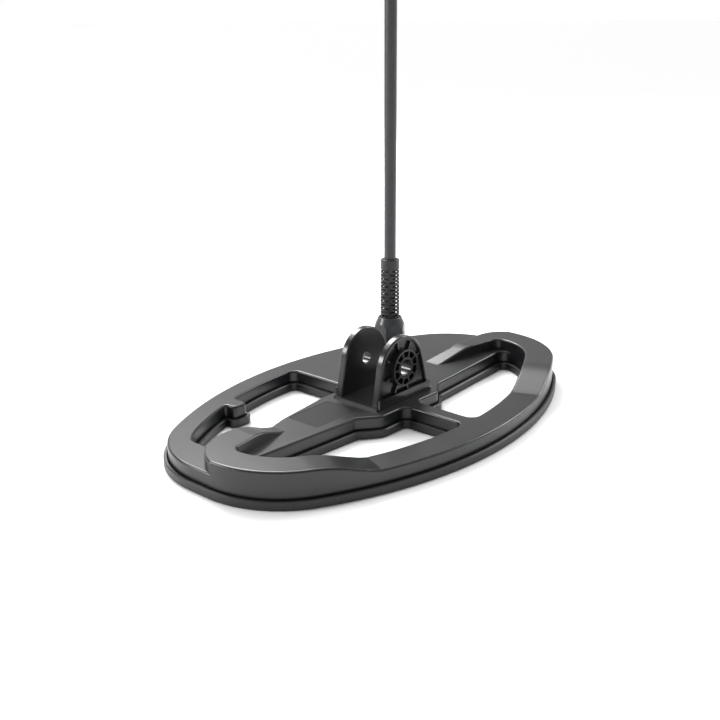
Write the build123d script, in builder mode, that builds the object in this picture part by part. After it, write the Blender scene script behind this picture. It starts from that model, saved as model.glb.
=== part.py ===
"""Search coil of a metal detector, as an assembly of separate pieces.

The coil stands on its skid cover, +Z up. The origin is the middle of the underside.
+X runs along the coil towards the heel, +Y towards the side that carries the cable gland.
Two D-shaped windings cross under the raised turns at the toe and at the heel.
Units are millimetres.
"""

from math import cos, radians, sin
import os

from build123d import *

os.makedirs("parts", exist_ok=True)

# Footprint of the skid cover, two long arcs cut square at the ends
half_length = 120.0
half_width = 73.5
side_radius = 194.0
corner_radius = 48.0

# Skid cover
cover_floor = 1.2
cover_wall = 1.8
cover_height = 4.4
cover_gap = 0.3

# Housing
low_top = 10.8
raised_top = 17.0
housing_wall = 2.0
edge_radius = 1.1
near_rim = 15.5
far_rim = 11.6
base_plate_thickness = 1.8
plate_gap = 0.1

# Bar and spokes across the middle
spoke_toe_x = -2.9
spoke_heel_x = 5.5
bracket_shoulder_y = -20.5
shoulder_toe_x = -21.0
shoulder_heel_x = 24.0
tongue_toe = (-31.0, -12.5)
tongue_heel = (33.5, -13.3)
tongue_end_y = -7.0
bar_far_y = 19.4
spoke_far_x = -1.0
far_window_end = 99.5
window_corner = 5.0

# Raised turns where the near winding crosses the far one
turn_start_x = 88.0
toe_turn_radius = 26.8
heel_turn_radius = 19.0
heel_far_y = 8.0
toe_turn_over = 1.1
heel_turn_over = 2.0
leg_far_y = 12.5
leg_waist_x = 74.0
leg_waist_y = 8.8
leg_start_x = 54.0
leaf_start_y = 3.8
leaf_end_y = -7.6
leaf_corner = 5.0
toe_leg_ramp = 19.0
heel_leg_ramp = 25.0
toe_leg_start = -63.0
heel_leg_start = 54.0
toe_rim_start = (-64.0, -55.0)
heel_rim_start = (49.6, -58.4)
rim_ramp = 25.0
rim_turn = 22.0

# Lug inside the far rim
lug_x = -55.3
lug_width = 8.8
lug_y = 43.2
lug_corner = 1.6
lug_tip = 2.15

pad_chamfer = 0.6
skid_chamfer = 0.5
rim_chamfer = 0.4

# Junction board under the gland's web
board_x = 62.0
board_y = 34.0
board_length = 26.0
board_width = 16.0
board_thickness = 1.2
board_top = 7.4
board_post_x = 10.0
board_post_radius = 1.6

# Shaft bracket
ear_edge = 0.8
rib_turn = 18.0
ear_gap = 19.7
ear_thickness = 4.0
ear_radius = 16.0
pin_x = 2.0
pin_height = 28.6
near_pin_bore = 4.2
far_pin_bore = 3.2
bracket_toe_x = -18.3
bracket_heel_x = 25.0
bracket_plate = 1.4
bracket_y = -0.65
rail_height = 4.2
bracket_lip = 1.2
boss_height = 2.4
boss_radius = 9.5
boss_wall = 1.0
boss_sleeve = 5.7
boss_spokes = 10
ear_ribs = 8
ear_rib_reach = 13.4
ear_border = 1.5
ear_recess = 1.0
rib_width = 0.9

# Label recess
label_length = 29.0
label_width = 20.0
label_corner = 2.5
label_depth = 0.4
label_x = -37.5
label_y = 3.5

# Cable gland, strain relief and cable
gland_x = 37.0
gland_y = 22.7
gland_pad_height = 1.6
gland_pad_radius = 10.5
gland_thread = 6.0
gland_hex = 15.5
gland_flange = 4.6
gland_nut_bottom = 19.4
dome_bottom = 34.4
gland_top = 40.0
gland_dome = 6.3
running_gap = 0.08
cable_diameter = 6.3
relief_radius = 5.25
relief_bore = 4.2
relief_top = 72.0
relief_collar = 5.2
relief_rows = 13
relief_slot = 1.1
relief_pitch = 2.05

fit_gap = 0.05
moving_gap = 0.3
hex_ease = 1.12
neck_radius = 6.6
neck_top = 32.0
seal_radius = 4.6
seal_bottom = 22.0
thread_end = 6.0
locknut_height = 3.0
seal_ring_middle = 7.2
seal_ring_thickness = 1.2
root_radius = 6.1
relief_taper = 0.25
relief_bridge = 2.4
relief_front = 215.0
relief_back = 76.0
relief_sway = 8.0
slots_bottom = 40.8

# Windings and the wires inside the housing
winding_diameter = 3.6
winding_bend = 12.0
wire_low = 5.4
wire_high = 12.2
tie_thickness = 0.35
tie_gap = 0.03
tie_width = 4.0
wire_radius = 0.45
wire_bend = 0.7
wire_floor = 5.0
core_start = 6.6
core_circle = 1.75
core_travel = 21.5
board_core_spread = 2.6
lead_gap = 0.1
capacitor_height = 2.4

# Connector at the cable's upper end
cable_top = 203.5
boot_grip = 8.0
shell_bottom = 216.0
shell_top = 236.0
shell_wall = 1.2
shoulder = 0.8
shoulder_height = 229.0
connector_radius = 6.4
connector_ring_radius = 8.4
ring_bottom = 227.0
ring_top = 241.0
knurls = 28
insert_bottom = 225.0
contact_circle = 2.7
contact_radius = 0.5
pin_count = 5


def footprint(inset):
    """Outline of the coil, moved inwards by inset."""
    with BuildSketch() as shape:
        with Locations((0, half_width - side_radius)):
            Circle(side_radius - inset)
        with Locations((0, side_radius - half_width)):
            Circle(side_radius - inset, mode=Mode.INTERSECT)
        Rectangle(2 * (half_length - inset), 2 * half_width, mode=Mode.INTERSECT)
        fillet(shape.vertices(), corner_radius - inset)
    return shape.sketch


def corners(shape):
    """Vertices of a sketch where its outline turns, leaving out the smooth joints."""
    sharp = []
    for vertex in shape.vertices():
        point = Vector(vertex)
        met = [e for e in shape.edges() if min((e @ 0 - point).length, (e @ 1 - point).length) < 0.01]
        ways = [e % (0 if (e @ 0 - point).length < 0.01 else 1) for e in met]
        if len(ways) == 2 and ways[0].cross(ways[1]).length > 0.05:
            sharp.append(vertex)
    return ShapeList(sharp)


housing_inset = cover_wall + cover_gap
near_inner = housing_inset + near_rim
far_inner = housing_inset + far_rim
reach = half_length
deep = half_width + 10


def toe_window():
    """Opening between the near rim and the bar, towards the toe."""
    with BuildSketch() as shape:
        with BuildLine():
            Polyline(
                (-reach, tongue_end_y),
                tongue_toe,
                (shoulder_toe_x, bracket_shoulder_y),
                (spoke_toe_x, bracket_shoulder_y),
                (spoke_toe_x, -deep),
                (-reach, -deep),
                close=True,
            )
        make_face()
        add(footprint(near_inner), mode=Mode.INTERSECT)
        fillet(corners(shape.sketch_local), window_corner)
    return shape.sketch


def heel_window():
    """Opening between the near rim and the bar, towards the heel."""
    with BuildSketch() as shape:
        with BuildLine():
            Polyline(
                (reach, tongue_end_y),
                tongue_heel,
                (shoulder_heel_x, bracket_shoulder_y),
                (spoke_heel_x, bracket_shoulder_y),
                (spoke_heel_x, -deep),
                (reach, -deep),
                close=True,
            )
        make_face()
        add(footprint(near_inner), mode=Mode.INTERSECT)
        fillet(corners(shape.sketch_local), window_corner)
    return shape.sketch


def far_window():
    """Opening behind the bar, from the far spoke to the toe, with the lug in its outer wall."""
    with BuildSketch() as shape:
        with BuildLine():
            Polyline(
                (spoke_far_x, deep),
                (spoke_far_x, bar_far_y),
                (shoulder_toe_x, bar_far_y),
                (-leg_start_x, leg_far_y + 2.0),
                (-leg_waist_x, leg_waist_y),
                (-turn_start_x, leg_far_y),
                (-far_window_end, leg_far_y),
                (-far_window_end, deep),
                close=True,
            )
        make_face()
        add(footprint(far_inner), mode=Mode.INTERSECT)
        fillet(corners(shape.sketch_local), window_corner)
    with BuildSketch() as lug:
        with Locations((lug_x, lug_y)):
            Rectangle(lug_width, half_width, align=(Align.CENTER, Align.MIN))
        fillet(lug.vertices().sort_by(Axis.Y)[:2], lug_tip)
    with BuildSketch() as notched:
        add(shape.sketch)
        add(lug.sketch, mode=Mode.SUBTRACT)
        fillet(corners(notched.sketch_local), lug_corner)
    return notched.sketch


windows = [toe_window(), heel_window(), far_window()]


def plan(inset, window_growth):
    """Footprint moved in by inset, less the windows, each grown by window_growth."""
    with BuildSketch() as shape:
        add(footprint(inset))
        for window in windows:
            if window_growth:
                add(offset(window, window_growth, mode=Mode.PRIVATE), mode=Mode.SUBTRACT)
            else:
                add(window, mode=Mode.SUBTRACT)
    return shape.sketch


def turn_plan(side, inset):
    """Plan of one raised turn: side is -1 at the toe and 1 at the heel."""
    leg_start = toe_leg_start if side < 0 else heel_leg_start
    rim_start = toe_rim_start if side < 0 else heel_rim_start
    far_edge = leg_far_y if side < 0 else heel_far_y
    radius = toe_turn_radius if side < 0 else heel_turn_radius
    over = toe_turn_over if side < 0 else heel_turn_over
    outer_x = half_length - housing_inset + over
    crease = radians(rim_turn)
    across = Vector(side * sin(crease), -cos(crease)) * 2 * near_rim
    rim_out = Vector(rim_start) + across
    rim_in = Vector(rim_start) - across
    with BuildSketch() as shape:
        with BuildLine():
            Polyline((leg_start, 0), (leg_start, bar_far_y), (side * turn_start_x, bar_far_y))
            Polyline(
                (side * turn_start_x, bar_far_y),
                (side * (turn_start_x + 4), far_edge),
                (side * (outer_x - radius), far_edge),
            )
            RadiusArc(
                (side * (outer_x - radius), far_edge),
                (side * outer_x, far_edge - radius),
                side * radius,
            )
            Polyline(
                (side * outer_x, far_edge - radius),
                (side * (outer_x + reach), far_edge - radius),
                (side * (outer_x + reach), -deep),
                (rim_out.X, rim_out.Y),
                (rim_in.X, rim_in.Y),
                (leg_start, 0),
            )
        make_face()
        add(footprint(housing_inset), mode=Mode.INTERSECT)
        if side > 0:
            with BuildLine():
                Polyline(
                    (leg_start, leg_far_y + 2),
                    (leg_waist_x, leg_waist_y),
                    (turn_start_x + 4, far_edge),
                    (turn_start_x + 4, deep),
                    (leg_start, deep),
                    close=True,
                )
            make_face(mode=Mode.SUBTRACT)
    with BuildSketch() as core:
        with BuildLine():
            Polyline(
                (0, leaf_start_y),
                (side * leg_start_x, leaf_start_y),
                (side * reach, leaf_end_y),
                (side * reach, -deep),
                (0, -deep),
                close=True,
            )
        make_face()
        add(footprint(near_inner), mode=Mode.INTERSECT)
    shrunk = offset(core.sketch, -leaf_corner, mode=Mode.PRIVATE)
    hollow = shape.sketch
    window = far_window()
    if inset:
        hollow = offset(hollow, -inset, mode=Mode.PRIVATE)
        window = offset(window, inset, mode=Mode.PRIVATE)
    with BuildSketch() as turn:
        add(hollow)
        add(offset(shrunk, leaf_corner + inset, mode=Mode.PRIVATE), mode=Mode.SUBTRACT)
        add(window, mode=Mode.SUBTRACT)
    return turn.sketch


band_half = 13.0
ramp_sink = 0.7
leg_blend = 30.0
rim_blend = 60.0


def ramp_cut(start, way, length, blend, drop):
    """Solid to take away above a ramp that rises from start along way, its two ends blended by arcs."""
    rise = raised_top - low_top
    along = Vector(way[0], way[1], 0).normalized()
    slope = Plane(
        origin=(start[0], start[1], low_top - drop),
        x_dir=along,
        z_dir=along.cross(Vector(0, 0, 1)),
    )
    with BuildPart() as cut:
        with BuildSketch(slope):
            with BuildLine():
                FilletPolyline(
                    (-12, -ramp_sink),
                    (0, -ramp_sink),
                    (length, rise),
                    (length + 12, rise),
                    radius=blend,
                )
                Polyline(
                    (length + 12, rise),
                    (length + 12, rise + 5),
                    (-12, rise + 5),
                    (-12, -ramp_sink),
                )
            make_face()
        extrude(amount=band_half, both=True)
    return cut.part


def is_crease(edge, faces):
    """True for an edge that two of the faces share."""
    return len([f for f in faces if any(edge.is_same(other) for other in f.edges())]) > 1


def raised_turn(side, inset, drop, floor):
    """Raised turn with its two ramps, from floor up; inset and drop give the hollow inside it."""
    leg_start = toe_leg_start if side < 0 else heel_leg_start
    leg_ramp = toe_leg_ramp if side < 0 else heel_leg_ramp
    rim_start = toe_rim_start if side < 0 else heel_rim_start
    crease = radians(rim_turn)
    with BuildPart() as turn:
        with BuildSketch(Plane.XY.offset(floor)):
            add(turn_plan(side, inset))
        extrude(amount=raised_top - drop - floor)
        add(ramp_cut((leg_start, 8), (side, 0), leg_ramp, leg_blend, drop), mode=Mode.SUBTRACT)
        add(
            ramp_cut(rim_start, (side * cos(crease), sin(crease)), rim_ramp, rim_blend, drop),
            mode=Mode.SUBTRACT,
        )
        if not inset:
            upper = turn.faces().filter_by(lambda f: f.normal_at().Z > 0.5)
            rims = upper.edges().filter_by(lambda e: not is_crease(e, upper))
            fillet(rims, edge_radius)
    return turn.part


def housing_form(inset, drop):
    """Outer form of the housing, or its hollow when inset and drop are the wall."""
    with BuildPart() as form:
        with BuildSketch(Plane.XY.offset(cover_floor)):
            add(plan(housing_inset + inset, inset))
        extrude(amount=low_top - drop - cover_floor)
        if not inset:
            fillet(form.faces().sort_by(Axis.Z)[-1].edges(), edge_radius)
        for side in (-1, 1):
            add(raised_turn(side, inset, drop, cover_floor))
    return form.part


gland_axis = Plane(origin=(gland_x, gland_y, 0))


def upper_housing():
    """Moulded shell with the raised turns, the gland pad, the label recess and two board posts."""
    with BuildPart() as shell:
        add(housing_form(0, 0))
        with BuildSketch(gland_axis.offset(low_top - housing_wall)):
            Circle(gland_pad_radius)
        extrude(amount=housing_wall + gland_pad_height)
        chamfer(shell.edges().filter_by(on_pad), pad_chamfer)
        add(housing_form(housing_wall, housing_wall), mode=Mode.SUBTRACT)
        with BuildSketch(gland_axis.offset(cover_floor)):
            Circle(gland_thread + running_gap)
        extrude(amount=low_top + gland_pad_height, mode=Mode.SUBTRACT)
        with BuildSketch(Plane.XY.offset(low_top - label_depth)):
            with Locations((label_x, label_y)):
                RectangleRounded(label_length, label_width, label_corner)
        extrude(amount=label_depth, mode=Mode.SUBTRACT)
        with BuildSketch(Plane.XY.offset(board_top)):
            with Locations((board_x - board_post_x, board_y), (board_x + board_post_x, board_y)):
                Circle(board_post_radius)
        extrude(amount=low_top - housing_wall - board_top)
    shell.part.label = "upper_housing"
    return shell.part


def on_pad(edge):
    """True for the top edge of the gland's pad."""
    return edge.geom_type == GeomType.CIRCLE and edge.center().Z > low_top + gland_pad_height - 0.1 and (
        edge.arc_center - Vector(gland_x, gland_y, edge.center().Z)
    ).length < 0.1


def base_plate():
    """Flat plate that closes the housing from below."""
    grown = housing_wall + plate_gap
    with BuildPart() as plate:
        with BuildSketch(Plane.XY.offset(cover_floor)):
            add(plan(housing_inset + grown, grown))
        extrude(amount=base_plate_thickness)
    plate.part.label = "base_plate"
    return plate.part


def skid_cover():
    """Thin tray that clips over the underside, with a rim round the coil and round each window."""
    with BuildPart() as tray:
        with BuildSketch():
            add(plan(0, -housing_inset))
        extrude(amount=cover_height)
        chamfer(tray.edges().group_by(Axis.Z)[0], skid_chamfer)
        with BuildSketch(Plane.XY.offset(cover_floor)):
            add(plan(cover_wall, cover_wall - housing_inset))
        extrude(amount=cover_height - cover_floor, mode=Mode.SUBTRACT)
        top_edges = tray.edges().filter_by(Plane.XY).group_by(Axis.Z)[-1]
        chamfer(top_edges, rim_chamfer)
    tray.part.label = "skid_cover"
    return tray.part


def ear_plan():
    """Outline of an ear in its own plane, round its pin."""
    foot = low_top + bracket_plate - pin_height
    with BuildSketch() as ear:
        Circle(ear_radius)
        with BuildLine():
            Polyline(
                (bracket_toe_x + 1 - pin_x, foot),
                (-ear_radius * cos(radians(10.4)), ear_radius * sin(radians(10.4))),
                (ear_radius * cos(radians(17.6)), ear_radius * sin(radians(17.6))),
                (bracket_heel_x - 1 - pin_x, foot),
                close=True,
            )
        make_face()
    return ear.sketch


def shaft_bracket():
    """Clevis for the shaft: a base plate on the bar and two ears, the near one ribbed round its bore."""
    ear_outer = ear_gap / 2 + ear_thickness
    half_plate = ear_outer + bracket_lip
    length = bracket_heel_x - bracket_toe_x
    middle = (bracket_heel_x + bracket_toe_x) / 2
    top = low_top + bracket_plate
    near_face = Plane(origin=(pin_x, -ear_outer, pin_height), x_dir=(1, 0, 0), z_dir=(0, -1, 0))
    with BuildPart() as bracket:
        with BuildSketch(Plane.XY.offset(low_top)):
            with Locations((middle, 0)):
                RectangleRounded(length, 2 * half_plate, 1.0)
        extrude(amount=bracket_plate)
        chamfer(bracket.faces().sort_by(Axis.Z)[-1].edges(), 0.4)
        with BuildSketch(near_face, near_face.offset(-ear_gap - ear_thickness)):
            add(ear_plan())
        extrude(amount=-ear_thickness)
        arches = bracket.edges().filter_by(lambda e: e.length > 30 and e.center().Z > pin_height)
        fillet(arches, ear_edge)
        with BuildSketch(near_face):
            offset(ear_plan(), -ear_border)
        extrude(amount=-ear_recess, mode=Mode.SUBTRACT)
        with BuildSketch(near_face.offset(-ear_recess)):
            Circle(boss_radius)
            Circle(boss_radius - boss_wall, mode=Mode.SUBTRACT)
            Circle(boss_sleeve)
            with PolarLocations(0, boss_spokes):
                with Locations((boss_radius / 2, 0)):
                    Rectangle(boss_radius, rib_width)
        extrude(amount=ear_recess + boss_height)
        with BuildSketch(near_face.offset(-ear_recess)):
            with PolarLocations(0, ear_ribs, start_angle=rib_turn):
                with Locations(((boss_radius + ear_rib_reach) / 2, 0)):
                    Rectangle(ear_rib_reach - boss_radius + 0.4, rib_width)
        extrude(amount=ear_recess + 0.4)
        with BuildSketch(near_face.offset(boss_height)):
            Circle(near_pin_bore)
        extrude(amount=-(boss_height + ear_thickness + 1), mode=Mode.SUBTRACT)
        with BuildSketch(near_face.offset(-ear_outer)):
            Circle(far_pin_bore)
        extrude(amount=-(ear_outer + 1), mode=Mode.SUBTRACT)
        for y in (-ear_outer - bracket_lip / 2, ear_outer + bracket_lip / 2):
            with BuildSketch(Plane.XY.offset(top - 0.4)):
                with Locations((middle, y)):
                    Rectangle(length - 3, bracket_lip)
            extrude(amount=rail_height)
    placed = Pos(0, bracket_y, 0) * bracket.part
    placed.label = "shaft_bracket"
    return placed


def label_plate():
    """Blank plate let into the bar beside the bracket."""
    with BuildPart() as plate:
        with BuildSketch(Plane.XY.offset(low_top - label_depth)):
            with Locations((label_x, label_y)):
                RectangleRounded(
                    label_length - 2 * plate_gap,
                    label_width - 2 * plate_gap,
                    label_corner - plate_gap,
                )
        extrude(amount=label_depth - plate_gap)
    plate.part.label = "label_plate"
    return plate.part


def hexagon(across, bottom, top):
    """Hexagonal length on the gland's axis, its corners eased, added to the part being built."""
    with BuildSketch(gland_axis.offset(bottom)) as section:
        RegularPolygon(across / 2, 6, major_radius=False, rotation=30)
        Circle(across / 2 * hex_ease, mode=Mode.INTERSECT)
    extrude(section.sketch, amount=top - bottom)


def turned(radius, bottom, top, mode=Mode.ADD):
    """Round length on the gland's axis, added to the part being built."""
    with Locations((gland_x, gland_y, bottom)):
        Cylinder(radius, top - bottom, align=(Align.CENTER, Align.CENTER, Align.MIN), mode=mode)


def bored(radius, bottom, top):
    """Round hole on the gland's axis, cut from the part being built."""
    turned(radius, bottom, top, Mode.SUBTRACT)


def ring_seal(middle, thickness, height, name):
    """O-ring on the gland's axis."""
    with BuildPart() as seal:
        with Locations((gland_x, gland_y, height)):
            Torus(middle, thickness / 2)
    seal.part.label = name
    return seal.part


pad_top = low_top + gland_pad_height
flange_top = pad_top + gland_flange
cable_bore = cable_diameter / 2 + fit_gap


def gland_body():
    """Hexagonal body with its neck for the nut above and the thread through the housing below."""
    with BuildPart() as body:
        hexagon(gland_hex, pad_top, flange_top)
        turned(neck_radius, flange_top, neck_top)
        chamfer(body.edges().group_by(Axis.Z)[-1], 0.5)
        turned(gland_thread, thread_end, pad_top)
        bored(seal_radius, seal_bottom, neck_top)
        bored(cable_bore + 0.3, thread_end, seal_bottom)
        with BuildSketch(gland_axis.offset(pad_top)):
            Circle(seal_ring_middle + 0.8)
            Circle(seal_ring_middle - 0.8, mode=Mode.SUBTRACT)
        extrude(amount=seal_ring_thickness + fit_gap, mode=Mode.SUBTRACT)
    body.part.label = "gland_body"
    return body.part


def gland_o_ring():
    """Seal between the gland's flange and the housing's pad."""
    height = pad_top + seal_ring_thickness / 2 + fit_gap / 2
    return ring_seal(seal_ring_middle, seal_ring_thickness, height, "gland_o_ring")


def gland_locknut():
    """Nut that holds the gland from inside the housing."""
    roof = low_top - housing_wall
    with BuildPart() as nut:
        hexagon(gland_hex, roof - locknut_height, roof)
        bored(gland_thread + fit_gap, roof - locknut_height, roof)
    nut.part.label = "gland_locknut"
    return nut.part


def gland_seal():
    """Rubber sleeve that grips the cable inside the neck."""
    with BuildPart() as sleeve:
        turned(seal_radius - fit_gap, seal_bottom, neck_top)
        bored(cable_bore, seal_bottom, neck_top)
    sleeve.part.label = "gland_seal"
    return sleeve.part


def gland_nut():
    """Domed nut that closes the gland and turns on its neck."""
    with BuildPart() as nut:
        hexagon(gland_hex, gland_nut_bottom, gland_top)
        with BuildSketch(Plane(origin=(gland_x, gland_y, 0), x_dir=(1, 0, 0), z_dir=(0, -1, 0))):
            with BuildLine():
                Polyline(
                    (0, gland_nut_bottom),
                    (gland_hex / 2 + 1.05, gland_nut_bottom),
                    (gland_hex / 2 + 1.05, dome_bottom),
                    (gland_dome, gland_top),
                    (0, gland_top),
                    close=True,
                )
            make_face()
        revolve(axis=Axis((gland_x, gland_y, 0), (0, 0, 1)), mode=Mode.INTERSECT)
        fillet(nut.edges().group_by(Axis.Z)[-1], 0.6)
        bored(neck_radius + running_gap, gland_nut_bottom, neck_top)
        bored(root_radius + moving_gap, neck_top, neck_top + 3)
        bored(relief_radius + moving_gap, neck_top, gland_top)
    nut.part.label = "gland_nut"
    return nut.part


def strain_relief():
    """Bending sleeve with rows of slots, on a root held in the gland nut."""
    with BuildPart() as relief:
        turned(root_radius, neck_top + fit_gap, neck_top + 2)
        with BuildSketch(gland_axis.offset(neck_top + 2)):
            Circle(relief_radius)
        with BuildSketch(gland_axis.offset(relief_top)):
            Circle(relief_radius - relief_taper)
        loft()
        fillet(relief.edges().group_by(Axis.Z)[-1], 0.6)
        bored(cable_bore, neck_top, relief_top)
        bored(relief_bore, slots_bottom - 2, relief_top - relief_collar)
        for row in range(relief_rows):
            height = slots_bottom + row * relief_pitch
            sway = relief_sway * (-1) ** row
            with BuildSketch(gland_axis.offset(height)):
                Circle(relief_radius + 1)
                Circle(relief_bore - 0.2, mode=Mode.SUBTRACT)
                for turn in (relief_front + sway, relief_back + sway):
                    bridge = (Align.MIN, Align.CENTER)
                    Rectangle(9, relief_bridge, rotation=turn, align=bridge, mode=Mode.SUBTRACT)
            extrude(amount=relief_slot, mode=Mode.SUBTRACT)
    relief.part.label = "strain_relief"
    return relief.part


def cable(bottom, top, name):
    """Straight length of the cable on the gland's axis."""
    with BuildPart() as length:
        turned(cable_diameter / 2, bottom, top)
    length.part.label = name
    return length.part


def inner_cable():
    """Cable inside the gland and its strain relief."""
    return cable(core_start, relief_top - 1, "inner_cable")


def coil_cable():
    """Cable from the strain relief to its connector, held straight up."""
    return cable(relief_top - 1, cable_top + boot_grip, "coil_cable")


def connector_boot():
    """Tapered sleeve where the cable enters the connector."""
    with BuildPart() as boot:
        with BuildSketch(gland_axis.offset(cable_top)):
            Circle(cable_diameter / 2 + 1.2)
        with BuildSketch(gland_axis.offset(shell_bottom)):
            Circle(connector_radius - 0.4)
        loft()
        turned(connector_radius - shell_wall - fit_gap, shell_bottom, shell_bottom + 3)
        bored(cable_bore, cable_top, cable_top + boot_grip)
    boot.part.label = "connector_boot"
    return boot.part


def connector_shell():
    """Body tube of the connector, with the shoulder that keeps its ring on."""
    with BuildPart() as shell:
        turned(connector_radius, shell_bottom, shell_top)
        turned(connector_radius + shoulder, shoulder_height, shoulder_height + 1.5)
        bored(connector_radius - shell_wall, shell_bottom, shell_top)
    shell.part.label = "connector_shell"
    return shell.part


def contacts(radius):
    """The contacts' sections, on a circle."""
    with PolarLocations(contact_circle, pin_count):
        Circle(radius)


def connector_insert():
    """Insulator that holds the contacts."""
    with BuildPart() as insert:
        turned(connector_radius - shell_wall - fit_gap, insert_bottom, shell_top - 1)
        with BuildSketch(gland_axis.offset(insert_bottom)):
            contacts(contact_radius + 0.03)
        extrude(amount=shell_top, mode=Mode.SUBTRACT)
    insert.part.label = "connector_insert"
    return insert.part


def connector_pins():
    """Round contacts, a group of separate solids."""
    with BuildPart() as pins:
        with BuildSketch(gland_axis.offset(insert_bottom - 2)):
            contacts(contact_radius)
        extrude(amount=shell_top + 1 - insert_bottom)
    pins.part.label = "connector_pins"
    return pins.part


def connector_ring():
    """Knurled coupling ring that turns on the shell."""
    with BuildPart() as ring:
        turned(connector_ring_radius, ring_bottom, ring_top)
        chamfer(ring.edges(), 0.5)
        with BuildSketch(gland_axis.offset(ring_bottom + 2)):
            with PolarLocations(connector_ring_radius + 0.1, knurls):
                Circle(0.5)
        extrude(amount=ring_top - ring_bottom - 4, mode=Mode.SUBTRACT)
        bored(connector_radius + running_gap, ring_bottom, ring_top)
        bored(connector_radius + shoulder + running_gap, shoulder_height - 0.3, ring_top)
    ring.part.label = "connector_ring"
    return ring.part


def connector_seal():
    """O-ring on the shell, ahead of its shoulder."""
    middle = connector_radius + fit_gap + 0.3
    return ring_seal(middle, 0.6, shoulder_height + 2.4, "connector_seal")


def junction_board():
    """Small board that joins the windings to the cable, hung on the two posts."""
    with BuildPart() as board:
        with BuildSketch(Plane.XY.offset(board_top - board_thickness)):
            with Locations((board_x, board_y)):
                RectangleRounded(board_length, board_width, 1.5)
        extrude(amount=board_thickness)
    board.part.label = "junction_board"
    return board.part


def tuning_capacitors():
    """Two film capacitors under the board, a group of separate solids."""
    with BuildPart() as blocks:
        with BuildSketch(Plane.XY.offset(board_top - board_thickness)):
            with Locations((board_x - 8, board_y + 4), (board_x + 8, board_y + 4)):
                Rectangle(7.5, 4)
        extrude(amount=-capacitor_height)
        fillet(blocks.edges().filter_by(Axis.Z), 0.4)
    blocks.part.label = "tuning_capacitors"
    return blocks.part


def winding(points, name):
    """Closed bundle of wire through points, round in section."""
    with BuildPart() as bundle:
        with BuildLine() as path:
            FilletPolyline(*points, radius=winding_bend, close=True)
        with BuildSketch(Plane(path.line @ 0, z_dir=path.line % 0)):
            Circle(winding_diameter / 2)
        sweep()
    bundle.part.label = name
    return bundle.part


def loop(half):
    """Closed loop of points from its toe half, given from the rim's middle to the bar's middle."""
    return half + [(-x, y, z) for x, y, z in reversed(half) if x < 0]


near_loop = loop(
    [
        (0, -63.3, wire_low),
        (-28, -61.3, wire_low),
        (-54, -55.6, wire_low),
        (-71, -50.0, wire_low),
        (-97, -33.5, wire_high),
        (-109.5, -20, wire_high),
        (-110.3, -8, wire_high),
        (-100, 2.4, wire_high),
        (-90, 3.3, wire_high),
        (-60, 6.3, wire_low),
        (0, 8.2, wire_low),
    ]
)
far_loop = loop(
    [
        (0, 65.6, wire_low),
        (-28, 63.7, wire_low),
        (-57, 56.6, wire_low),
        (-80, 46.6, wire_low),
        (-95, 39.0, wire_low),
        (-107, 26, wire_low),
        (-109, 9, wire_low),
        (-101, -1.5, wire_low),
        (-88, -4.2, wire_low),
    ]
)


def transmit_winding():
    """Near D winding, which climbs over the far one at the toe and at the heel."""
    return winding(near_loop, "transmit_winding")


def receive_winding():
    """Far D winding, flat in the bottom of the housing."""
    return winding(far_loop, "receive_winding")


def winding_ties():
    """Tape ties round the two windings, a group of separate solids."""
    with BuildPart() as ties:
        for points in (near_loop, far_loop):
            for start, end in zip(points, points[1:]):
                run = Vector(end) - Vector(start)
                if run.Z == 0 and run.length > 20:
                    with BuildSketch(Plane(Vector(start) + run / 2, z_dir=run)):
                        Circle(winding_diameter / 2 + tie_thickness)
                        Circle(winding_diameter / 2 + tie_gap, mode=Mode.SUBTRACT)
                    extrude(amount=tie_width / 2, both=True)
    ties.part.label = "winding_ties"
    return ties.part


def wires(routes, name):
    """Group of thin insulated wires, one along each route."""
    with BuildPart() as group:
        for route in routes:
            with BuildLine() as path:
                FilletPolyline(*route, radius=wire_bend)
            with BuildSketch(Plane(path.line @ 0, z_dir=path.line % 0)):
                Circle(wire_radius)
            sweep()
    group.part.label = name
    return group.part


board_under = board_top - board_thickness


def core_wires():
    """Cores of the cable, from its cut end under the gland to the board."""
    routes = []
    for turn in range(0, 360, 90):
        start_turn = radians(core_travel + 18.4 + turn)
        side = board_core_spread * sin(radians(18.4 + turn))
        start = (gland_x + core_circle * cos(start_turn), gland_y + core_circle * sin(start_turn))
        end = (
            board_x - 9 - side * sin(radians(core_travel)),
            board_y - 5 + side * cos(radians(core_travel)),
        )
        routes.append(
            [
                (*start, core_start),
                (*start, wire_floor),
                (*end, wire_floor),
                (*end, board_under),
            ]
        )
    return wires(routes, "core_wires")


def transmit_leads():
    """Pair of leads from the near winding to the board."""
    routes = []
    for x in (board_x - 4, board_x - 2):
        y = 8.2 - 1.9 * x / 60 + winding_diameter / 2 + lead_gap
        far = board_y - 6
        routes.append([(x, y, wire_floor), (x, far, wire_floor), (x, far, board_under)])
    return wires(routes, "transmit_leads")


def receive_leads():
    """Pair of leads from the far winding to the board."""
    routes = []
    for x in (board_x + 0.5, board_x + 2.5):
        y = 56.6 - 10 * (x - 57) / 23 - 1.1 * winding_diameter / 2 - lead_gap
        near = board_y - 3
        routes.append([(x, y, wire_floor), (x, near, wire_floor), (x, near, board_under)])
    return wires(routes, "receive_leads")


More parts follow.
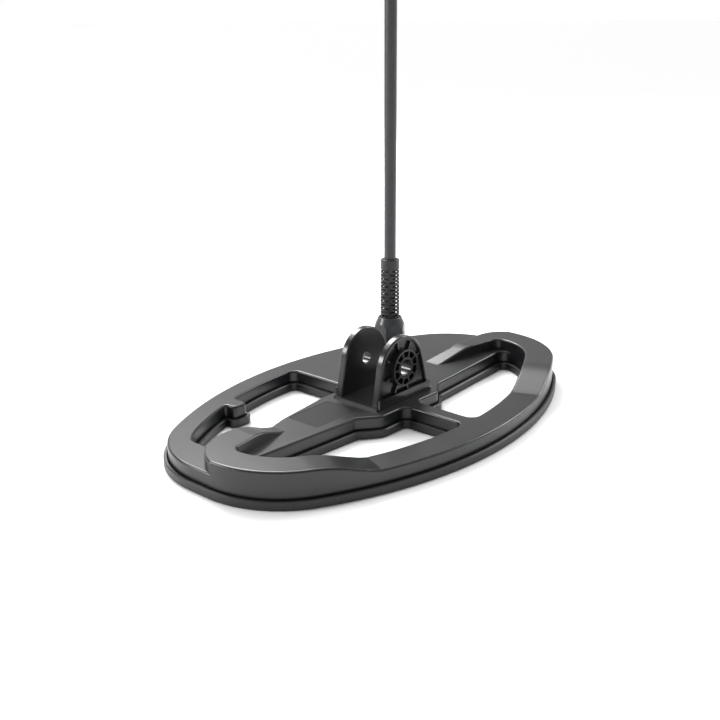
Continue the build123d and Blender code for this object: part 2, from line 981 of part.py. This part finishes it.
built = [
    upper_housing,
    base_plate,
    skid_cover,
    shaft_bracket,
    label_plate,
    transmit_winding,
    receive_winding,
    winding_ties,
    junction_board,
    tuning_capacitors,
    core_wires,
    transmit_leads,
    receive_leads,
    gland_body,
    gland_o_ring,
    gland_locknut,
    gland_seal,
    gland_nut,
    strain_relief,
    inner_cable,
    coil_cable,
    connector_boot,
    connector_shell,
    connector_insert,
    connector_pins,
    connector_ring,
    connector_seal,
]
for piece in built:
    part = piece()
    print(part.label, round(part.volume), len(part.solids()), part.is_valid)
    export_step(part, f"parts/{part.label}.step")
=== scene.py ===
from math import radians

import bpy
from bpy.props import FloatProperty, FloatVectorProperty, PointerProperty
from bpy.types import Operator, Panel, PropertyGroup
from mathutils import Matrix, Vector


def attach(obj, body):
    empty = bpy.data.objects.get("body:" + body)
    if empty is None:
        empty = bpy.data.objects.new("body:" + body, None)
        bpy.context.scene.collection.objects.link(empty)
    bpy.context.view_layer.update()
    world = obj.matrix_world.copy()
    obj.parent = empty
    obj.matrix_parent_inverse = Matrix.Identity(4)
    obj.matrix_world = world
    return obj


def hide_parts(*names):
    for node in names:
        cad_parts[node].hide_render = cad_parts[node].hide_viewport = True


bl_info = {
    "name": "Detector Search Coil",
    "version": (1, 0, 0),
    "blender": (4, 5, 0),
    "location": "View3D > Sidebar > Search Coil",
    "description": "Finishes, cable and stage for an open-web detector search coil",
    "category": "Object",
}

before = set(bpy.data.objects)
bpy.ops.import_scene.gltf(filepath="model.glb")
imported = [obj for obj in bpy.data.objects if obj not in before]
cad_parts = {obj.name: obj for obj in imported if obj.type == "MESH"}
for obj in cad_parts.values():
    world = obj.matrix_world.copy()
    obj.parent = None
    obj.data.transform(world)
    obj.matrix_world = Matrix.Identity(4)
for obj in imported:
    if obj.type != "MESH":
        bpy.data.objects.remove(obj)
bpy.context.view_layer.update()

ABS_IOR = 1.53
NYLON_IOR = 1.53
PVC_IOR = 1.53

# The cable's axis, and the heights of its points from the sleeve's top to the connector, in metres.
CABLE_X = 0.037
CABLE_Y = 0.0227
CABLE_HEIGHTS = (0.071, 0.106, 0.141, 0.176, 0.2115)

# Where the camera stands, in metres, and the way it looks.
CAMERA_PLACE = (-0.3587, -0.3042, 0.1923)
CAMERA_WAY = (0.709, 0.625, -0.327)
SENSOR_WIDTH = 36

# Half the side of the floor, in metres, and the sun's strength and softness.
FLOOR_REACH = 60
SUN_STRENGTH = 2.45
SUN_SPREAD = radians(60)
SUN_TURN = (radians(-24), radians(14), 0)
LAMPS_AIM = (0, 0, 0.02)


def linear(code):
    """Linear RGBA of an sRGB hex colour."""
    channels = [int(code[i : i + 2], 16) / 255 for i in (0, 2, 4)]
    return [c / 12.92 if c <= 0.04045 else ((c + 0.055) / 1.055) ** 2.4 for c in channels] + [1.0]


def per_metre(millimetres):
    """Noise scale whose features are about that many millimetres across."""
    return 1000 / millimetres


def colour(name, description, code):
    """Colour property with a default given as sRGB hex."""
    return FloatVectorProperty(
        name=name, description=description, subtype="COLOR", size=4, min=0, max=1, default=linear(code)
    )


class ShellSettings(PropertyGroup):
    """Colours and surface of the moulded shell, its cover and its bracket."""

    abs_colour: colour("ABS", "Charcoal of the moulded shell and bracket", "17181a")
    cover_colour: colour("Cover", "Colour of the clip-on skid cover", "151617")
    label_colour: colour("Label", "Colour of the blank label film", "060607")
    grain: FloatProperty(
        name="Mould grain",
        description="Size of the spark-eroded grain left by the mould",
        default=0.0009,
        min=0.0001,
        unit="LENGTH",
    )


class CableSettings(PropertyGroup):
    """Sizes and colours of the cable, its gland and its connector."""

    diameter: FloatProperty(
        name="Diameter",
        description="Outer diameter of the cable's jacket",
        default=0.0063,
        min=0.001,
        unit="LENGTH",
    )
    jacket_colour: colour("Jacket", "Colour of the cable's jacket", "2c2d30")
    gland_colour: colour("Gland", "Colour of the nylon gland", "37393c")
    relief_colour: colour("Strain relief", "Colour of the slotted sleeve", "232426")


class StageSettings(PropertyGroup):
    """Floor, light and camera."""

    lens: FloatProperty(
        name="Lens", description="Focal length of the camera", default=49.05, min=1, unit="CAMERA"
    )
    roll: FloatProperty(
        name="Roll", description="Turn of the camera about its view", default=radians(-0.43), subtype="ANGLE"
    )
    floor_colour: colour("Floor", "Colour of the plain floor", "f6f6f6")


def add_node(tree, kind, links=(), **settings):
    """Adds a node, sets its attributes and sockets, and links sockets from other nodes to it."""
    made = tree.nodes.new(kind)
    for name, value in settings.items():
        if hasattr(made, name) and name not in made.inputs:
            setattr(made, name, value)
        else:
            made.inputs[name.replace("_", " ")].default_value = value
    for source, socket in links:
        tree.links.new(source, made.inputs[socket])
    return made


def surface(name, base, roughness, ior=1.5, metallic=0.0, grain=0.0, depth=0.0, mottle=0.0, patch=6.0):
    """Principled material with grain of a size in metres, and broad mottling of its colour."""
    material = bpy.data.materials.new(name)
    material.use_nodes = True
    tree = material.node_tree
    shader = tree.nodes["Principled BSDF"]
    shader.inputs["Base Color"].default_value = base
    shader.inputs["Roughness"].default_value = roughness
    shader.inputs["Metallic"].default_value = metallic
    if not metallic:
        shader.inputs["IOR"].default_value = ior
    place = add_node(tree, "ShaderNodeTexCoord").outputs["Object"]
    if mottle:
        cloud = add_node(
            tree, "ShaderNodeTexNoise", [(place, "Vector")], Scale=per_metre(patch), Detail=3.0, Roughness=0.6
        )
        paler = [min(1.0, c * (1 + mottle) + mottle * 0.02) for c in base[:3]] + [1.0]
        darker = [c * (1 - mottle) for c in base[:3]] + [1.0]
        ramp = add_node(tree, "ShaderNodeValToRGB", [(cloud.outputs["Fac"], "Fac")])
        ramp.color_ramp.elements[0].position = 0.3
        ramp.color_ramp.elements[0].color = darker
        ramp.color_ramp.elements[1].position = 0.7
        ramp.color_ramp.elements[1].color = paler
        tree.links.new(ramp.outputs["Color"], shader.inputs["Base Color"])
        sheen = add_node(
            tree,
            "ShaderNodeMapRange",
            [(cloud.outputs["Fac"], "Value")],
            To_Min=roughness * 0.9,
            To_Max=min(1.0, roughness * 1.12),
        )
        tree.links.new(sheen.outputs["Result"], shader.inputs["Roughness"])
    if grain:
        fine = add_node(
            tree, "ShaderNodeTexNoise", [(place, "Vector")], Scale=1 / grain, Detail=2.0, Roughness=0.5
        )
        bump = add_node(
            tree, "ShaderNodeBump", [(fine.outputs["Fac"], "Height")], Strength=1.0, Distance=depth
        )
        tree.links.new(bump.outputs["Normal"], shader.inputs["Normal"])
    return material


def dress(material, *nodes):
    """Gives CAD nodes a material."""
    for name in nodes:
        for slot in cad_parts[name].material_slots:
            slot.material = material


class SEARCHCOIL_OT_shell(Operator):
    """Finish the moulded shell, its base plate and its skid cover"""

    bl_idname = "search_coil.shell"
    bl_label = "Shell and cover"

    def execute(self, context):
        look = context.scene.search_coil_shell
        # Injection-moulded ABS from a spark-eroded mould: satin, with an even fine grain in the highlights.
        shell = surface(
            "moulded_abs",
            look.abs_colour,
            0.3,
            ABS_IOR,
            grain=look.grain,
            depth=0.000012,
            mottle=0.08,
            patch=30,
        )
        dress(shell, "upper_housing", "base_plate")
        # The cover is the same plastic, a little duller where it slides over the ground.
        cover = surface(
            "moulded_abs_cover",
            look.cover_colour,
            0.42,
            ABS_IOR,
            grain=look.grain,
            depth=0.00002,
            mottle=0.12,
            patch=18,
        )
        dress(cover, "skid_cover")
        # Polyester film printed matt black: it throws back less of the room than the plastic round it.
        film = surface("polyester_film", look.label_colour, 0.45, 1.28, mottle=0.05, patch=20)
        dress(film, "label_plate")
        return {"FINISHED"}


class SEARCHCOIL_OT_bracket(Operator):
    """Finish the clevis bracket"""

    bl_idname = "search_coil.bracket"
    bl_label = "Clevis bracket"

    def execute(self, context):
        look = context.scene.search_coil_shell
        # Moulded ABS from a smoother mould: semi-gloss, so ribs and rims catch the light.
        moulding = surface(
            "moulded_abs_bracket",
            look.abs_colour,
            0.25,
            ABS_IOR,
            grain=look.grain,
            depth=0.000008,
            mottle=0.06,
            patch=12,
        )
        dress(moulding, "shaft_bracket")
        return {"FINISHED"}


class SEARCHCOIL_OT_windings(Operator):
    """Finish the windings, their ties and the wires inside the shell"""

    bl_idname = "search_coil.windings"
    bl_label = "Windings and wires"

    def execute(self, context):
        # Enamelled copper wire: metal under a thin amber varnish.
        copper = surface(
            "enamelled_copper", linear("b8632f"), 0.32, metallic=1.0, grain=0.0005, depth=0.00005, mottle=0.12
        )
        dress(copper, "transmit_winding", "receive_winding", "transmit_leads", "receive_leads")
        # Crepe-backed polyester tape, matt yellow.
        tape = surface("polyester_tape", linear("d8c06a"), 0.6, grain=0.0006, depth=0.00003, mottle=0.1)
        dress(tape, "winding_ties")
        # Silicone wire insulation, soft and slightly dusty.
        insulation = surface("silicone_insulation", linear("b9b3a6"), 0.55, 1.41, mottle=0.1)
        dress(insulation, "core_wires")
        return {"FINISHED"}


class SEARCHCOIL_OT_board(Operator):
    """Finish the junction board and its capacitors"""

    bl_idname = "search_coil.board"
    bl_label = "Junction board"

    def execute(self, context):
        # Solder resist over glass-epoxy laminate: glossy green with a faint weave.
        resist = surface(
            "solder_resist", linear("1c5a34"), 0.3, 1.55, grain=0.0008, depth=0.00001, mottle=0.08
        )
        dress(resist, "junction_board")
        # Dipped epoxy coating, glossy brick red.
        epoxy = surface("dipped_epoxy", linear("8c2a1c"), 0.25, 1.55, mottle=0.06)
        dress(epoxy, "tuning_capacitors")
        return {"FINISHED"}


class SEARCHCOIL_OT_gland(Operator):
    """Finish the cable gland and its slotted sleeve"""

    bl_idname = "search_coil.gland"
    bl_label = "Cable gland"

    def execute(self, context):
        look = context.scene.search_coil_cable
        # Moulded nylon 6: a soft gloss a shade paler than the shell.
        nylon = surface(
            "moulded_nylon", look.gland_colour, 0.3, NYLON_IOR, grain=0.0008, depth=0.000008, mottle=0.06
        )
        dress(nylon, "gland_body", "gland_nut", "gland_locknut")
        # Thermoplastic elastomer: satin, with the light falling off quickly in its slots.
        elastomer = surface(
            "moulded_tpe", look.relief_colour, 0.42, 1.5, grain=0.0007, depth=0.00001, mottle=0.08
        )
        dress(elastomer, "strain_relief")
        # Nitrile rubber: matt black.
        rubber = surface("nitrile_rubber", linear("161616"), 0.7, 1.52, mottle=0.1)
        dress(rubber, "gland_o_ring", "gland_seal", "connector_seal")
        return {"FINISHED"}


class SEARCHCOIL_OT_cable(Operator):
    """Lay the cable up from its sleeve to the connector"""

    bl_idname = "search_coil.cable"
    bl_label = "Cable"

    def execute(self, context):
        look = context.scene.search_coil_cable
        # Extruded PVC jacket: satin, with fine draw lines.
        jacket = surface(
            "extruded_pvc", look.jacket_colour, 0.38, PVC_IOR, grain=0.0009, depth=0.00001, mottle=0.08
        )
        dress(jacket, "inner_cable")
        route = [(CABLE_X, CABLE_Y, height) for height in CABLE_HEIGHTS]
        line = bpy.data.curves.new("coil_cable", "CURVE")
        line.dimensions = "3D"
        line.resolution_u = 8
        line.bevel_depth = look.diameter / 2
        line.bevel_resolution = 8
        spline = line.splines.new("NURBS")
        spline.points.add(len(route) - 1)
        for point, place in zip(spline.points, route):
            point.co = (*place, 1)
        spline.order_u = 3
        spline.use_endpoint_u = True
        line.materials.append(jacket)
        cable = bpy.data.objects.new("cable", line)
        context.scene.collection.objects.link(cable)
        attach(cable, "root")
        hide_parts("coil_cable")
        return {"FINISHED"}


class SEARCHCOIL_OT_connector(Operator):
    """Finish the connector at the cable's upper end"""

    bl_idname = "search_coil.connector"
    bl_label = "Connector"

    def execute(self, context):
        # Brass under satin nickel plate.
        nickel = surface("nickel_plate", linear("b4b2ac"), 0.28, metallic=1.0, mottle=0.05)
        dress(nickel, "connector_shell", "connector_ring")
        # Gold flash over turned brass.
        gold = surface("gold_flash", linear("e0b45c"), 0.22, metallic=1.0, mottle=0.05)
        dress(gold, "connector_pins")
        # Glass-filled nylon, matt, with short fibres in its skin.
        filled = surface(
            "glass_filled_nylon", linear("1d1d1e"), 0.5, NYLON_IOR, grain=0.0004, depth=0.00001, mottle=0.1
        )
        dress(filled, "connector_insert")
        # Moulded PVC boot over the cable's end.
        boot = surface(
            "moulded_pvc", linear("242527"), 0.45, PVC_IOR, grain=0.0008, depth=0.00001, mottle=0.08
        )
        dress(boot, "connector_boot")
        return {"FINISHED"}


class SEARCHCOIL_OT_stage(Operator):
    """Set the floor, the soft studio light and the camera"""

    bl_idname = "search_coil.stage"
    bl_label = "Stage"

    def execute(self, context):
        look = context.scene.search_coil_stage
        scene = context.scene
        camera = bpy.data.cameras.new("camera")
        camera.lens = look.lens
        camera.sensor_width = SENSOR_WIDTH
        camera.clip_start = 0.01
        seat = bpy.data.objects.new("camera", camera)
        forward = Vector(CAMERA_WAY).normalized()
        right = forward.cross(Vector((0, 0, 1))).normalized()
        up = right.cross(forward)
        turn = Matrix((right, up, -forward)).transposed().to_4x4()
        seat.matrix_world = (
            Matrix.Translation(CAMERA_PLACE) @ turn @ Matrix.Rotation(look.roll, 4, "Z")
        )
        scene.collection.objects.link(seat)
        scene.camera = seat

        mesh = bpy.data.meshes.new("floor")
        sides = ((-1, -1), (1, -1), (1, 1), (-1, 1))
        mesh.from_pydata([(x * FLOOR_REACH, y * FLOOR_REACH, 0) for x, y in sides], [], [(0, 1, 2, 3)])
        mesh.materials.append(surface("white_paper", look.floor_colour, 0.8, mottle=0.004, patch=80))
        floor = bpy.data.objects.new("floor", mesh)
        scene.collection.objects.link(floor)

        # A studio room, pale round the horizon and dimmer overhead, so that edges catch the light.
        world = bpy.data.worlds.new("studio")
        world.use_nodes = True
        tree = world.node_tree
        way = add_node(tree, "ShaderNodeTexCoord").outputs["Generated"]
        height = add_node(tree, "ShaderNodeSeparateXYZ", [(way, "Vector")]).outputs["Z"]
        fade = add_node(
            tree,
            "ShaderNodeMapRange",
            [(height, "Value")],
            From_Min=0.03,
            From_Max=0.4,
            To_Min=1.0,
            To_Max=0.34,
        )
        backdrop = tree.nodes["Background"]
        backdrop.inputs["Color"].default_value = (1, 1, 1, 1)
        tree.links.new(fade.outputs["Result"], backdrop.inputs["Strength"])
        scene.world = world
        scene.view_settings.view_transform = "Standard"
        sun = bpy.data.lights.new("ceiling_diffuser", "SUN")
        sun.energy = SUN_STRENGTH
        sun.angle = SUN_SPREAD
        seat_of_sun = bpy.data.objects.new("ceiling_diffuser", sun)
        seat_of_sun.rotation_euler = SUN_TURN
        scene.collection.objects.link(seat_of_sun)
        for name, place, size, power in (
            ("overhead", (0.35, 0.75, 0.9), 0.45, 12),
            ("left_box", (-0.9, 0.75, 0.5), 0.3, 7),
            ("right_box", (0.9, -0.3, 0.6), 0.3, 5),
        ):
            lamp = bpy.data.lights.new(name, "AREA")
            lamp.size = size
            lamp.energy = power
            holder = bpy.data.objects.new(name, lamp)
            holder.location = place
            aim = Vector(LAMPS_AIM) - Vector(place)
            holder.rotation_euler = aim.to_track_quat("-Z", "Y").to_euler()
            scene.collection.objects.link(holder)
        return {"FINISHED"}


class SEARCHCOIL_PT_panel(Panel):
    """Search coil tools in the sidebar."""

    bl_label = "Search Coil"
    bl_space_type = "VIEW_3D"
    bl_region_type = "UI"
    bl_category = "Search Coil"

    def draw(self, context):
        scene = context.scene
        for group in (scene.search_coil_shell, scene.search_coil_cable, scene.search_coil_stage):
            box = self.layout.box()
            for name in group.__annotations__:
                box.prop(group, name)
        for operator in OPERATORS:
            self.layout.operator(operator.bl_idname)


OPERATORS = (
    SEARCHCOIL_OT_stage,
    SEARCHCOIL_OT_shell,
    SEARCHCOIL_OT_bracket,
    SEARCHCOIL_OT_windings,
    SEARCHCOIL_OT_board,
    SEARCHCOIL_OT_gland,
    SEARCHCOIL_OT_cable,
    SEARCHCOIL_OT_connector,
)
CLASSES = (ShellSettings, CableSettings, StageSettings, *OPERATORS, SEARCHCOIL_PT_panel)


def register():
    for item in CLASSES:
        bpy.utils.register_class(item)
    bpy.types.Scene.search_coil_shell = PointerProperty(type=ShellSettings)
    bpy.types.Scene.search_coil_cable = PointerProperty(type=CableSettings)
    bpy.types.Scene.search_coil_stage = PointerProperty(type=StageSettings)


def unregister():
    for name in ("search_coil_shell", "search_coil_cable", "search_coil_stage"):
        delattr(bpy.types.Scene, name)
    for item in reversed(CLASSES):
        bpy.utils.unregister_class(item)


def main():
    """Runs every operator in order."""
    register()
    bpy.ops.search_coil.stage()
    bpy.ops.search_coil.shell()
    bpy.ops.search_coil.bracket()
    bpy.ops.search_coil.windings()
    bpy.ops.search_coil.board()
    bpy.ops.search_coil.gland()
    bpy.ops.search_coil.cable()
    bpy.ops.search_coil.connector()


if __name__ == "__main__":
    main()
